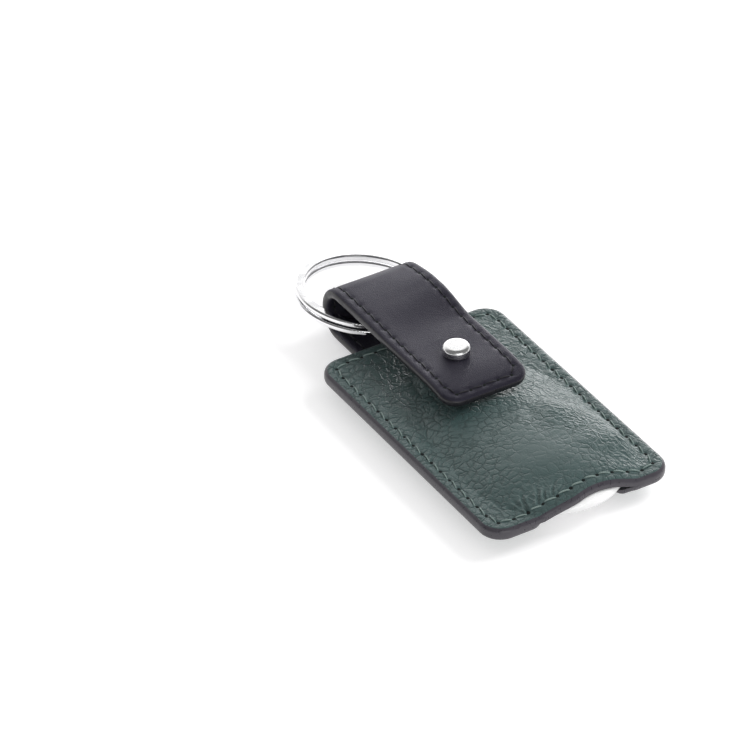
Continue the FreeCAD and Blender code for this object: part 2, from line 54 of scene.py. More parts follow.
# Pouch
HALF_WIDTH = 22.5
NOTCH_END = -15.4
POUCH_TOP = 54.6
POUCH_CORNER = 5.0
POUCH_EDGE_RADIUS = 1.1
POUCH_PAINTED = 0.7
FRONT_NOTCH_X = 5.0
FRONT_NOTCH_WIDTH = 20.0
FRONT_NOTCH_DEPTH = 1.1
BACK_NOTCH_X = 0.5
BACK_NOTCH_WIDTH = 26.0
BACK_NOTCH_DEPTH = 7.0
BACK_NOTCH_FLANK = 7.0
SEAM_Z = 5.1
LEATHER = 1.0
LINING = 0.5
LINING_EDGE = 1.0
LINING_BLEND = 0.4
CLOTH_GAP = 0.02
PANEL = LEATHER + LINING
SEAM_WIDTH = 3.2
SEAM_BLEND = 1.8
POCKET_HALF_HEIGHT = 3.95
TRACKER_X = 1.5
TRACKER_RADIUS = 16.0
SWELL_REACH = 19.0
FRONT_SWELL_REACH = 46.0
BACK_SWELL_REACH = 33.0
SNAP_Y = 34.0
SNAP_PAD_RADIUS = 6.5
SNAP_PAD_BLEND = 3.0

# The front's shoulder along the tracker's rim, which runs between two bearings in degrees
RIM_FULLNESS = 1.2
RIM_FOOT = 18.2
RIM_STEEPNESS = 3
RIM_START = -40.0
RIM_START_BLEND = 35.0
RIM_END = 80.0
RIM_END_BLEND = 30.0

# Where the back closes beside its notch
CLOSING_GAP = 0.4
CLOSING_BLEND = 2.5
CLOSING_Y = -9.0
CLOSING_REACH = 5.0

# Gentle waves in the front
WAVES = 7
WAVE_LENGTHS = (6, 16)
WAVE_HEIGHT = 0.05
WAVE_SEED = 3
WAVES_FROM = 1.0
WAVES_BLEND = 2.0

# Fold lines: how they wander, rise and fade as shares of their length, and their lips in widths
FOLD_WANDER = 0.26
FOLD_BENDS = 5.0
FOLD_PHASE = 7.0
FOLD_HEAD = 0.4
FOLD_RISE = 0.15
FOLD_FADE = 0.8
LIP_HEIGHT = 0.6
LIP_PLACE = 2
# The painted highlight on a fold's lip: its place in widths, its own width, and the fold depth at which it
# is full
HIGHLIGHT_PLACE = 1.6
HIGHLIGHT_WIDTH = 0.12
HIGHLIGHT_FULL_DEPTH = 0.12

# Where the grain is pulled flat, and where it lies deep beside the strap
STRETCHED_MIDDLE = (-1.0, -1.0)
STRETCHED_REACH = (9.5, 11.0)
STRETCHED_LOSS = 0.82
STRAP_SIDE_X = -12.0
STRAP_SIDE_REACH = 4.5
STRAP_SIDE_Y = 14.0
STRAP_SIDE_BLEND = 6.0
STRAP_SIDE_GAIN = 0.3

# Where the grain is pushed up into folds: right of a leaning ridge, and by the notch
RIDGE_X = 1.5
RIDGE_LEAN = 9.5
RIDGE_TOP = 24.0
RIDGE_RUN = 26.0
RIDGE_BLEND = 4.0
WEAKER_FROM = 8.0
WEAKER_BLEND = 18.0
WEAKER_LOSS = 0.5
NOTCH_FOLDS_MIDDLE = (-8.5, -11.0)
NOTCH_FOLDS_REACH = (4.5, 3.5)
NOTCH_FOLDS_SHARE = 0.9
FOLDS_INSIDE = 2.6
FOLDS_BLEND = 1.2

# Strap
STRAP_HALF_WIDTH = 10.5
STRAP_THICKNESS = 2.2
STRAP_CORNER = 4.0
STRAP_EDGE_RADIUS = 0.95
STRAP_PAINTED = 0.3
STRAP_BOTTOM = 1.4
STRAP_ANCHOR = 36.6
LOOP_Y = 66.0
LOOP_Z = 7.6
LOOP_RADIUS = 6.2
FLAP_TOP = 13.8
TIP_BEND_START = 30.2
TIP_BEND_RADIUS = 38.1
TIP_RUN = 10.0
STRAP_ARCH = 0.9
STRAP_ROLL = 0.8
ARCH_START = 44.0
ARCH_RISE = 12.0
ARCH_FALL = 14.0

# Sewing
POUCH_STITCH_INSET = 2.7
POUCH_STITCH_PITCH = 3.5
STRAP_STITCH_INSET = 2.2
STRAP_STITCH_PITCH = 3.4
OUTLINE_STEP = 0.2
SEWN_DENT = 0.10
SEWN_DENT_WIDTH = 0.55
HOLE_DENT = 0.24
HOLE_DENT_WIDTH = 0.50
DENT_REACH = 1.6
INSIDE_DENT_SHARE = 0.5
STITCH_STATIONS = 9
STITCH_SIDES = 8
STITCH_CLEAR = 0.34
STITCH_SQUARENESS = 4
LEAN_SPREAD = (0.7, 1.3)
THREAD_SUNK = 0.9
THREAD_ENDS = 0.72
HOLE_SINK = 0.22
HOLE_STRETCH = 1.3
# The radius and the height of each ring of points in the painted-shade mark at a needle hole
HOLE_RINGS = ((0.44, -0.30), (0.42, -0.01), (0.26, 0.03))


# Flat patterns
def arc(centre, radius, start, end, count=24):
    angles = np.radians(np.linspace(start, end, count))
    return [(centre[0] + radius * math.cos(a), centre[1] + radius * math.sin(a)) for a in angles]


def pouch_pattern(notch_x, notch_width, notch_depth, flank):
    """A panel's outline, counter-clockwise, with its notch, whose sides are S-curves as wide as flank."""
    bell = ((flank / 2) ** 2 + (notch_depth / 2) ** 2) / notch_depth
    lean = math.degrees(math.asin(min(1.0, flank / 2 / bell)))
    left, right = notch_x - notch_width / 2, notch_x + notch_width / 2
    side, low, high = HALF_WIDTH - POUCH_CORNER, NOTCH_END + POUCH_CORNER, POUCH_TOP - POUCH_CORNER
    crown = NOTCH_END + notch_depth - bell
    points = arc((left, NOTCH_END + bell), bell, -90, -90 + lean)
    points += arc((left + flank, crown), bell, 90 + lean, 90)
    points += arc((right - flank, crown), bell, 90, 90 - lean)
    points += arc((right, NOTCH_END + bell), bell, -90 - lean, -90)
    points += arc((side, low), POUCH_CORNER, -90, 0)
    points += arc((side, high), POUCH_CORNER, 0, 90)
    points += arc((-side, high), POUCH_CORNER, 90, 180)
    points += arc((-side, low), POUCH_CORNER, 180, 270)
    return np.array(points)


def strap_pattern(length):
    """The strap laid flat, across by along, with its four corners rounded."""
    side = STRAP_HALF_WIDTH - STRAP_CORNER
    points = arc((side, STRAP_CORNER), STRAP_CORNER, -90, 0)
    points += arc((side, length - STRAP_CORNER), STRAP_CORNER, 0, 90)
    points += arc((-side, length - STRAP_CORNER), STRAP_CORNER, 90, 180)
    points += arc((-side, STRAP_CORNER), STRAP_CORNER, 180, 270)
    return np.array(points)


def resample(loop, step):
    """Evenly spaced points round a closed loop."""
    closed = np.vstack([loop, loop[:1]])
    lengths = np.linalg.norm(np.diff(closed, axis=0), axis=1)
    along = np.concatenate([[0], np.cumsum(lengths)])
    count = max(8, round(along[-1] / step))
    wanted = np.linspace(0, along[-1], count, endpoint=False)
    return np.stack([np.interp(wanted, along, closed[:, axis]) for axis in (0, 1)], axis=1)


def inset(loop, distance):
    ahead = np.roll(loop, -1, axis=0) - np.roll(loop, 1, axis=0)
    ahead /= np.linalg.norm(ahead, axis=1)[:, None]
    return loop + distance * np.stack([-ahead[:, 1], ahead[:, 0]], axis=1)


def needle_holes(outline, distance, pitch):
    """Points along a line sewn at a distance inside an outline."""
    return resample(inset(resample(outline, OUTLINE_STEP), distance), pitch)


def depth_inside(points, loop):
    """Distance of each point from the loop, positive inside it."""
    start, end = loop, np.roll(loop, -1, axis=0)
    nearest = np.full(len(points), np.inf)
    inside = np.zeros(len(points), bool)
    x, y = points[:, 0], points[:, 1]
    for (x0, y0), (x1, y1) in zip(start, end):
        dx, dy = x1 - x0, y1 - y0
        share = np.clip(((x - x0) * dx + (y - y0) * dy) / (dx * dx + dy * dy), 0, 1)
        nearest = np.minimum(nearest, (x - x0 - share * dx) ** 2 + (y - y0 - share * dy) ** 2)
        crosses = (y0 > y) != (y1 > y)
        if dy:
            inside ^= crosses & (x < x0 + (y - y0) * dx / dy)
    return np.sqrt(nearest) * np.where(inside, 1, -1)


ROW_SPACING = 0.87


def even_grid(low, high, spacing):
    """Points in rows, every other row shifted by half a step."""
    columns = np.arange(low[0], high[0], spacing)
    rows = np.arange(low[1], high[1], spacing * ROW_SPACING)
    xs, ys = np.meshgrid(columns, rows)
    xs[1::2] += spacing / 2
    return np.stack([xs.ravel(), ys.ravel()], axis=1)


RINGS = (0.0, 0.1, 0.25, 0.45, 0.7, 1.05)
KEEP_INSIDE = 1
SAME_POINT = 1e-6


class Pattern:
    """A flat piece cut into small triangles, with rings of points along its edge."""

    def __init__(self, outline, step, spacing, fine_box=None):
        self.outline = resample(outline, step)
        rings = np.vstack([inset(self.outline, ring) for ring in RINGS])
        low, high = self.outline.min(axis=0), self.outline.max(axis=0)
        grid = even_grid(low, high, spacing)
        if fine_box is not None:
            fine_low, fine_high = np.array(fine_box)
            outside = ((grid < fine_low) | (grid > fine_high)).any(axis=1)
            grid = np.vstack([grid[outside], even_grid(fine_low, fine_high, spacing / 2)])
        grid = grid[depth_inside(grid, self.outline) > RINGS[-1] + spacing / 2]
        points = np.vstack([rings, grid])
        count = len(self.outline)
        border = [(number, (number + 1) % count) for number in range(count)]
        made = delaunay_2d_cdt([Vector(p) for p in points], border, [], KEEP_INSIDE, SAME_POINT, True)
        self.points = np.array([tuple(p) for p in made[0]])
        triangles = np.array([tuple(face) for face in made[2]])
        middles = self.points[triangles].mean(axis=1)
        self.triangles = triangles[depth_inside(middles, self.outline) > 0]
        origin = {source: number for number, sources in enumerate(made[3]) for source in sources}
        self.border = np.array([origin[number] for number in range(count)])
        self.depth = np.maximum(depth_inside(self.points, self.outline), 0)
        self.depth[self.border] = 0


# Meshes
def new_object(name, vertices, faces, materials, face_slots=None):
    mesh = bpy.data.meshes.new(name)
    mesh.from_pydata((np.asarray(vertices) * MM).tolist(), [], [tuple(map(int, face)) for face in faces])
    for material in materials:
        mesh.materials.append(material)
    if face_slots is not None:
        mesh.polygons.foreach_set("material_index", np.asarray(face_slots, np.int32))
    mesh.polygons.foreach_set("use_smooth", np.full(len(mesh.polygons), True))
    mesh.update()
    obj = bpy.data.objects.new(name, mesh)
    scene.collection.objects.link(obj)
    return obj


SHARP_ANGLE = math.radians(82)


def closed_sheet(name, pattern, upper, lower, materials, painted=0.0):
    """A sheet with thickness.

    Its walls, and the faces nearer to the edge than painted, take the second material.
    """
    count = len(pattern.points)
    after = np.roll(pattern.border, -1)
    walls = np.stack([pattern.border + count, after + count, after, pattern.border], axis=1)
    faces = list(pattern.triangles) + list(pattern.triangles[:, ::-1] + count) + list(walls)
    slots = None
    if len(materials) > 1:
        near_edge = (pattern.depth[pattern.triangles].mean(axis=1) < painted).astype(int)
        slots = np.concatenate([near_edge, near_edge, np.ones(len(walls), int)])
    sheet = new_object(name, np.vstack([upper, lower]), faces, materials, slots)
    sheet.data.set_sharp_from_angle(angle=SHARP_ANGLE)
    return sheet


def paint_attribute(obj, name, values):
    """Values for the points of a sheet, the same above and below."""
    attribute = obj.data.attributes.new(name, "FLOAT", "POINT")
    attribute.data.foreach_set("value", np.tile(values, 2).astype(np.float32))


def stacked(points, height):
    return np.column_stack([points, height])


# Formed leather
def smooth_step(share):
    share = np.clip(share, 0, 1)
    return share * share * (3 - 2 * share)


def spot(x, y, middle, reach):
    """1 at the middle, fading over a reach across and a reach along."""
    return np.exp(-(((x - middle[0]) / reach[0]) ** 2) - (((y - middle[1]) / reach[1]) ** 2))


def swell(x, y, reach_along):
    across = x - TRACKER_X
    along = np.where(y < 0, y, y * SWELL_REACH / reach_along)
    dome = np.maximum(0, 1 - (across**2 + along**2) / SWELL_REACH**2)
    return POCKET_HALF_HEIGHT * dome * smooth_step((HALF_WIDTH - SEAM_WIDTH - np.abs(x)) / SEAM_BLEND)


def front_swell(x, y):
    """The front stays high to the tracker's right-hand rim, which shows as a round shoulder."""
    free = swell(x, y, FRONT_SWELL_REACH)
    outward = np.clip(np.hypot(x - TRACKER_X, y) / RIM_FOOT, 0, 1) ** RIM_STEEPNESS
    bearing = np.degrees(np.arctan2(y, x - TRACKER_X))
    on_right = smooth_step((RIM_END - bearing) / RIM_END_BLEND)
    on_right = on_right * smooth_step((bearing - RIM_START) / RIM_START_BLEND)
    fullness = RIM_FULLNESS * 4 * outward * (1 - outward) * on_right
    free = free + fullness * smooth_step((HALF_WIDTH - SEAM_WIDTH - x) / SEAM_BLEND)
    clamped = smooth_step((SNAP_PAD_RADIUS + SNAP_PAD_BLEND - np.hypot(x, y - SNAP_Y)) / SNAP_PAD_BLEND)
    seat = swell(np.zeros_like(x), np.full_like(x, SNAP_Y), FRONT_SWELL_REACH)
    return free + clamped * (seat - free)


def back_swell(x, y):
    """The back closes up to the front beside the notch, outside the tracker."""
    outside = smooth_step((np.hypot(x - TRACKER_X, y) - TRACKER_RADIUS - CLOSING_GAP) / CLOSING_BLEND)
    closing = outside * smooth_step((CLOSING_Y - y) / CLOSING_REACH)
    return swell(x, y, BACK_SWELL_REACH) * (1 - closing)


def edge_drop(depth, radius):
    """How far a rounded edge has fallen at a distance from the outline."""
    inward = np.clip(radius - depth, 0, radius)
    return radius - np.sqrt(radius**2 - inward**2)


def unevenness(x, y):
    """Gentle waves that keep leather from looking machined."""
    waves = np.random.default_rng(WAVE_SEED)
    total = np.zeros_like(x)
    for _ in range(WAVES):
        length = waves.uniform(*WAVE_LENGTHS)
        heading, phase = waves.uniform(0, 2 * math.pi, 2)
        total += np.sin(2 * math.pi * (x * math.cos(heading) + y * math.sin(heading)) / length + phase)
    return WAVE_HEIGHT * total / WAVES


def by_fold(x, y, start, end):
    """How far aside of a wandering fold line a point lies, and how much of the fold is left there."""
    dx, dy = end[0] - start[0], end[1] - start[1]
    length = math.hypot(dx, dy)
    along = ((x - start[0]) * dx + (y - start[1]) * dy) / length**2
    aside = ((x - start[0]) * -dy + (y - start[1]) * dx) / length
    aside = aside + FOLD_WANDER * np.sin(FOLD_BENDS * along + FOLD_PHASE * start[0])
    fade = smooth_step(along / FOLD_RISE + FOLD_HEAD) * smooth_step((1 - along) / FOLD_FADE)
    return aside, fade


def crease(x, y, start, end, width, deep):
    """A fold line with a lip on either side, deepest at its start and fading towards its end."""
    aside, fade = by_fold(x, y, start, end)
    valley = np.exp(-((aside / width) ** 2))
    lips = np.exp(-(((np.abs(aside) - LIP_PLACE * width) / width) ** 2))
    return deep * fade * (LIP_HEIGHT * lips - valley)


# The start, the end, the width and the depth of each fold line in the front
CREASES = [
    ((-12.2, -12.6), (-10.2, -6.4), 0.32, 0.30),
    ((-9.2, -12.4), (-7.4, -7.6), 0.30, 0.26),
    ((-7.6, -12.4), (-5.8, -8.6), 0.26, 0.22),
    ((-5.8, -12.3), (-2.6, -8.2), 0.28, 0.22),
    ((-4.6, -12.2), (-1.2, -9.8), 0.26, 0.16),
    ((-12.3, -12.4), (-13.2, -7.0), 0.32, 0.24),
    ((-13.2, -11.6), (-15.6, -7.4), 0.34, 0.14),
    ((-15.6, -9.6), (-16.8, -3.2), 0.32, 0.10),
    ((-14.6, -2.6), (-10.4, 3.4), 0.34, 0.08),
    ((12.6, -10.6), (10.4, -5.6), 0.30, 0.10),
    ((15.4, -9.8), (13.0, -4.2), 0.30, 0.10),
    ((16.8, -6.8), (13.8, 0.8), 0.32, 0.10),
    ((8.8, -10.6), (7.8, -7.2), 0.28, 0.08),
]
# The corners of the box round the folds by the notch, where the front's points lie closer
CREASED_BOX = ((-17.0, -14.2), (1.5, -2.0))


def painted_ridge_highlights(x, y):
    """How much painted highlight the lips of the fold lines get, standing in for light catching them."""
    pale = np.zeros_like(x)
    for start, end, width, deep in CREASES:
        aside, fade = by_fold(x, y, start, end)
        lip = np.exp(-(((aside - HIGHLIGHT_PLACE * width) / HIGHLIGHT_WIDTH) ** 2))
        pale = np.maximum(pale, fade * lip * min(1.0, deep / HIGHLIGHT_FULL_DEPTH))
    return pale


def needle_dents(x, y, depth, holes, line):
    """The sewn line pulls the leather in, most of all at the needle holes."""
    near = np.abs(depth - line) < DENT_REACH
    dent = -SEWN_DENT * np.exp(-(((depth - line) / SEWN_DENT_WIDTH) ** 2))
    gap = np.stack([x[near], y[near]], axis=1)[:, None] - holes[None]
    nearest = np.sqrt((gap**2).sum(axis=2).min(axis=1))
    dent[near] -= HOLE_DENT * np.exp(-((nearest / HOLE_DENT_WIDTH) ** 2))
    return dent


front_outline = pouch_pattern(FRONT_NOTCH_X, FRONT_NOTCH_WIDTH, FRONT_NOTCH_DEPTH, FRONT_NOTCH_WIDTH / 2)
back_outline = pouch_pattern(BACK_NOTCH_X, BACK_NOTCH_WIDTH, BACK_NOTCH_DEPTH, BACK_NOTCH_FLANK)
front_pattern = Pattern(front_outline, step=0.35, spacing=0.32, fine_box=CREASED_BOX)
back_pattern = Pattern(back_outline, step=0.4, spacing=0.5)
front_holes = needle_holes(front_outline, POUCH_STITCH_INSET, POUCH_STITCH_PITCH)
back_holes = needle_holes(back_outline, POUCH_STITCH_INSET, POUCH_STITCH_PITCH)


def front_height(x, y, depth):
    height = SEAM_Z + PANEL + front_swell(x, y) - edge_drop(depth, POUCH_EDGE_RADIUS)
    height += smooth_step((depth - WAVES_FROM) / WAVES_BLEND) * unevenness(x, y)
    for fold in CREASES:
        height += crease(x, y, *fold)
    return height + needle_dents(x, y, depth, front_holes, POUCH_STITCH_INSET)


def back_height(x, y, depth):
    height = SEAM_Z - PANEL - back_swell(x, y) + edge_drop(depth, POUCH_EDGE_RADIUS)
    height -= needle_dents(x, y, depth, back_holes, POUCH_STITCH_INSET)
    return np.maximum(height, 0.0)


# Shader nodes
NOISE_RANGE = (0.3, 0.7)


def feed(tree, node, inputs):
    """Gives inputs of a node, by name or number, another node's output or a constant."""
    for key, value in inputs.items():
        socket = node.inputs[key]
        if isinstance(value, bpy.types.NodeSocket):
            tree.links.new(value, socket)
        elif socket.type == "RGBA":
            socket.default_value = (*value, 1)
        else:
            socket.default_value = value


def add(tree, kind, inputs=None, **settings):
    node = tree.nodes.new(f"ShaderNode{kind}")
    for key, value in settings.items():
        setattr(node, key, value)
    feed(tree, node, inputs or {})
    return node


def combined(tree, operation, first, second):
    return add(tree, "Math", {0: first, 1: second}, operation=operation).outputs[0]


def scaled(tree, value, factor):
    return combined(tree, "MULTIPLY", value, factor)


def mapped(tree, value, low, high, to_low=0.0, to_high=1.0):
    inputs = {"Value": value, "From Min": low, "From Max": high, "To Min": to_low, "To Max": to_high}
    return add(tree, "MapRange", inputs, interpolation_type="SMOOTHSTEP").outputs["Result"]


def mixed(tree, factor, first, second):
    return add(tree, "Mix", {"Factor": factor, 6: first, 7: second}, data_type="RGBA").outputs[2]


def noise(tree, place, scale, detail=2.0, output="Fac"):
    return add(tree, "TexNoise", {"Vector": place, "Scale": scale, "Detail": detail}).outputs[output]


def cells(tree, place, scale):
    """Distance from the walls between cells."""
    inputs = {"Vector": place, "Scale": scale}
    return add(tree, "TexVoronoi", inputs, feature="DISTANCE_TO_EDGE").outputs["Distance"]


def warped(tree, place, scale, reach):
    shake = noise(tree, place, scale, output="Color")
    inputs = {0: shake, 1: (reach, reach, reach), 2: place}
    return add(tree, "VectorMath", inputs, operation="MULTIPLY_ADD").outputs[0]


def object_place(tree):
    return add(tree, "TexCoord").outputs["Object"]


def painted_value(tree, name):
    return add(tree, "Attribute", attribute_name=name).outputs["Fac"]


def bump(tree, shader, height, distance, strength):
    node = add(tree, "Bump", {"Distance": distance, "Height": height, "Strength": strength})
    feed(tree, shader, {"Normal": node.outputs["Normal"]})


# Materials
def new_material(name):
    made = bpy.data.materials.new(name)
    made.use_nodes = True
    tree = made.node_tree
    return made, tree, tree.nodes["Principled BSDF"]


PEBBLE_FOLD_TURN = math.radians(-58.0)
PEBBLE_FOLD_STRETCH = 2.3


def pebble_leather():
    """Milled leather: broken creases round soft pebbles, drawn-out folds where it turns down, and pores,
    with painted shade in the creases and painted highlights on the folds.
    """
    made, tree, shader = new_material("pebbled_green_leather")
    flat_place = object_place(tree)
    place = warped(tree, flat_place, scale=150, reach=0.0030)
    place = warped(tree, place, scale=620, reach=0.0009)
    depth = painted_value(tree, "grain")
    folded = painted_value(tree, "folds")
    ridge_highlight = painted_value(tree, "ridge_highlight")
    patches = noise(tree, flat_place, scale=95)
    gaps = cells(tree, place, scale=560)
    shown = mapped(tree, noise(tree, flat_place, scale=420), 0.30, 0.56)
    creases = scaled(tree, scaled(tree, mapped(tree, gaps, 0.0, 0.14, 1.0, 0.0), shown), depth)
    creases = scaled(tree, creases, mapped(tree, folded, 0.0, 1.0, 1.0, 0.3))
    domes = scaled(tree, mapped(tree, gaps, 0.0, 0.45), depth)
    wrinkles = scaled(tree, mapped(tree, cells(tree, place, scale=1500), 0.0, 0.25), depth)
    pores = noise(tree, place, scale=5200, detail=3.0)
    drawing = {"Vector": place, "Rotation": (0, 0, PEBBLE_FOLD_TURN), "Scale": (PEBBLE_FOLD_STRETCH, 1, 1)}
    drawn = add(tree, "Mapping", drawing, vector_type="TEXTURE").outputs[0]
    ridges = mapped(tree, cells(tree, drawn, scale=880), 0.0, 0.20, 1.0, 0.0)
    folds = scaled(tree, ridges, folded)
    relief = scaled(tree, creases, -0.36)
    for layer, height in ((domes, 0.22), (wrinkles, 0.11), (folds, 0.50), (pores, 0.05)):
        relief = combined(tree, "ADD", relief, scaled(tree, layer, height))
    bump(tree, shader, relief, distance=0.00030, strength=0.8)
    tone = mixed(tree, patches, (0.041, 0.075, 0.073), (0.049, 0.086, 0.084))
    # The creases are painted darker: painted shade in their grooves.
    tone = mixed(tree, scaled(tree, creases, 0.34), tone, (0.010, 0.020, 0.019))
    # The fold ridges are painted lighter: a painted highlight standing in for light catching them.
    tone = mixed(tree, scaled(tree, folds, 0.35), tone, (0.100, 0.145, 0.140))
    # The lips of the fold lines are painted paler: a painted highlight where light would catch them.
    tone = mixed(tree, scaled(tree, ridge_highlight, 0.24), tone, (0.230, 0.290, 0.280))
    feed(tree, shader, {
        "Base Color": tone,
        "Roughness": mapped(tree, creases, 0.0, 0.8, 0.40, 0.60),
        "Specular IOR Level": 0.72,
    })
    return made


def strap_leather():
    """Smooth calf leather with a fine close grain."""
    made, tree, shader = new_material("smooth_black_leather")
    place = add(tree, "UVMap", uv_map="flat").outputs["UV"]
    place = warped(tree, place, scale=900, reach=0.0005)
    grain = mapped(tree, cells(tree, place, scale=2600), 0.0, 0.3)
    pores = noise(tree, place, scale=7000, detail=3.0)
    patches = noise(tree, place, scale=120, detail=3.0)
    relief = combined(tree, "ADD", grain, scaled(tree, pores, 0.5))
    bump(tree, shader, relief, distance=0.00006, strength=0.5)
    feed(tree, shader, {
        "Base Color": mixed(tree, patches, (0.013, 0.012, 0.018), (0.018, 0.017, 0.026)),
        "Roughness": mapped(tree, patches, *NOISE_RANGE, 0.40, 0.50),
        "Specular IOR Level": 0.46,
        "Specular Tint": (0.80, 0.76, 1.0),
    })
    return made


METAL_DULLNESS = 0.93


def metal(name, colour, roughness, scale=260.0, stretch=(1, 1, 1), relief=0.00001):
    """Metal whose gloss and surface vary a little. Stretch gives the marks' scale along each axis."""
    made, tree, shader = new_material(name)
    place = add(tree, "VectorMath", {0: object_place(tree), 1: stretch}, operation="MULTIPLY").outputs[0]
    marks = noise(tree, place, scale, detail=4.0)
    dull = tuple(channel * METAL_DULLNESS for channel in colour)
    feed(tree, shader, {
        "Metallic": 1.0,
        "Base Color": mixed(tree, marks, dull, colour),
        "Roughness": mapped(tree, marks, *NOISE_RANGE, *roughness),
    })
    bump(tree, shader, marks, relief, strength=0.3)
    return made


def mottled(name, dark, light, roughness, scale, detail, relief=0.0, strength=0.0):
    """A material whose tone and surface vary a little, and its gloss too where roughness is a range."""
    made, tree, shader = new_material(name)
    texture = noise(tree, object_place(tree), scale, detail)
    if isinstance(roughness, tuple):
        roughness = mapped(tree, texture, *NOISE_RANGE, *roughness)
    feed(tree, shader, {"Base Color": mixed(tree, texture, dark, light), "Roughness": roughness})
    if strength:
        bump(tree, shader, texture, relief, strength)
    return made


def edge_paint(name, dark, light):
    """Rubbery edge paint, a little uneven where it was brushed on."""
    return mottled(name, dark, light, (0.26, 0.38), scale=900, detail=3.0, relief=0.00004, strength=0.5)


def thread(name, dark, light):
    return mottled(name, dark, light, 0.6, scale=4200, detail=2.0, relief=0.00008, strength=0.6)


def plastic(name, dark, light, roughness):
    return mottled(name, dark, light, roughness, scale=1500, detail=3.0, relief=0.00002, strength=0.25)


GREEN = pebble_leather()
BLACK = strap_leather()
PAINT = edge_paint("charcoal_edge_paint", (0.044, 0.040, 0.050), (0.064, 0.059, 0.070))
BLACK_PAINT = edge_paint("black_edge_paint", (0.012, 0.011, 0.014), (0.024, 0.022, 0.027))
CLOTH = mottled(
    "dark_lining", (0.010, 0.010, 0.011), (0.026, 0.026, 0.028), 0.9,
    scale=3000, detail=4.0, relief=0.00010, strength=0.6)
GREEN_THREAD = thread("green_thread", (0.120, 0.175, 0.162), (0.260, 0.325, 0.305))
BLACK_THREAD = thread("black_thread", (0.006, 0.006, 0.009), (0.020, 0.019, 0.026))
# The marks at the needle holes are near black: painted shade for the dark inside of each hole.
HOLE_SHADE = mottled(
    "needle_hole_shade", (0.003, 0.005, 0.005), (0.010, 0.014, 0.013), 0.9, scale=4000, detail=2.0)
POLISHED = metal("polished_steel", (0.88, 0.88, 0.89), (0.05, 0.14))
CAP_STEEL = metal(
    "satin_cap_steel", (0.97, 0.97, 0.97), (0.24, 0.34), scale=500.0, stretch=(1, 1, 10), relief=0.000002)
BRUSHED = metal("brushed_steel", (0.70, 0.70, 0.71), (0.25, 0.40), scale=300.0, stretch=(1, 14, 1))
BRASS = metal("spring_brass", (0.80, 0.62, 0.32), (0.18, 0.32))
WHITE = plastic("white_gloss_plastic", (0.93, 0.93, 0.93), (0.96, 0.96, 0.96), (0.14, 0.22))
BOARD = plastic("board_laminate", (0.012, 0.070, 0.035), (0.020, 0.095, 0.050), (0.40, 0.55))
RUBBER = plastic("seal_rubber", (0.012, 0.012, 0.012), (0.026, 0.026, 0.026), (0.65, 0.80))

NODE_MATERIALS = {
    "snap_cap": CAP_STEEL,
    "snap_socket": POLISHED,
    "snap_spring": BRASS,
    "snap_stud": POLISHED,
    "snap_stud_rivet": POLISHED,
    "split_ring": POLISHED,
    "tracker_shell": WHITE,
    "tracker_base": WHITE,
    "cover_seal": RUBBER,
    "circuit_board": BOARD,
    "speaker_magnet": BRUSHED,
    "speaker_coil": BRASS,
    "coin_cell": BRUSHED,
    "battery_contacts": BRASS,
    "battery_cover": BRUSHED,
}
for node_name, node_material in NODE_MATERIALS.items():
    slots = nodes[node_name].data.materials
    slots.clear()
    slots.append(node_material)


# Pouch panels and linings
def grain_depth(x, y):
    """The grain is pulled nearly flat over the middle of the bulge and lies deep beside the strap."""
    stretched = spot(x, y, STRETCHED_MIDDLE, STRETCHED_REACH)
    beside_strap = np.exp(-(((x - STRAP_SIDE_X) / STRAP_SIDE_REACH) ** 2))
    beside_strap = beside_strap * smooth_step((y - STRAP_SIDE_Y) / STRAP_SIDE_BLEND)
    return 1.0 - STRETCHED_LOSS * stretched + STRAP_SIDE_GAIN * beside_strap


def fold_share(x, y, depth):
    """How far the grain is pushed up into folds, where the panel turns down and by the notch. The same
    share paints the fold ridges lighter, as a painted highlight.
    """
    from_ridge = x - RIDGE_X - RIDGE_LEAN * smooth_step((RIDGE_TOP - y) / RIDGE_RUN)
    strength = 1.0 - WEAKER_LOSS * smooth_step((y - WEAKER_FROM) / WEAKER_BLEND)
    right = smooth_step((from_ridge + RIDGE_BLEND) / (2 * RIDGE_BLEND)) * strength
    by_notch = NOTCH_FOLDS_SHARE * spot(x, y, NOTCH_FOLDS_MIDDLE, NOTCH_FOLDS_REACH)
    return np.maximum(right, by_notch) * smooth_step((depth - FOLDS_INSIDE) / FOLDS_BLEND)


def lining_room(depth):
    """The leather is thinner inside its edge, where the lining lies against it."""
    return LINING * smooth_step((depth - LINING_EDGE) / LINING_BLEND)


def cloth_pattern(outline):
    edge = inset(resample(outline, 0.4), LINING_EDGE + LINING_BLEND)
    return Pattern(edge, step=1.0, spacing=1.4)


flat, inward = front_pattern.points, front_pattern.depth
front = closed_sheet(
    "front_leather", front_pattern,
    stacked(flat, front_height(*flat.T, inward)),
    stacked(flat, SEAM_Z + front_swell(*flat.T) + lining_room(inward)),
    [GREEN, PAINT], POUCH_PAINTED)
flat, inward = back_pattern.points, back_pattern.depth
back = closed_sheet(
    "back_leather", back_pattern,
    stacked(flat, SEAM_Z - back_swell(*flat.T) - lining_room(inward)),
    stacked(flat, back_height(*flat.T, inward)),
    [GREEN, PAINT], POUCH_PAINTED)
cloth = cloth_pattern(front_outline)
inside = SEAM_Z + front_swell(*cloth.points.T)
front_cloth = closed_sheet(
    "front_lining_cloth", cloth,
    stacked(cloth.points, inside + LINING - CLOTH_GAP),
    stacked(cloth.points, inside + CLOTH_GAP),
    [CLOTH])
cloth = cloth_pattern(back_outline)
inside = SEAM_Z - back_swell(*cloth.points.T)
back_cloth = closed_sheet(
    "back_lining_cloth", cloth,
    stacked(cloth.points, inside - CLOTH_GAP),
    stacked(cloth.points, inside - LINING + CLOTH_GAP),
    [CLOTH])
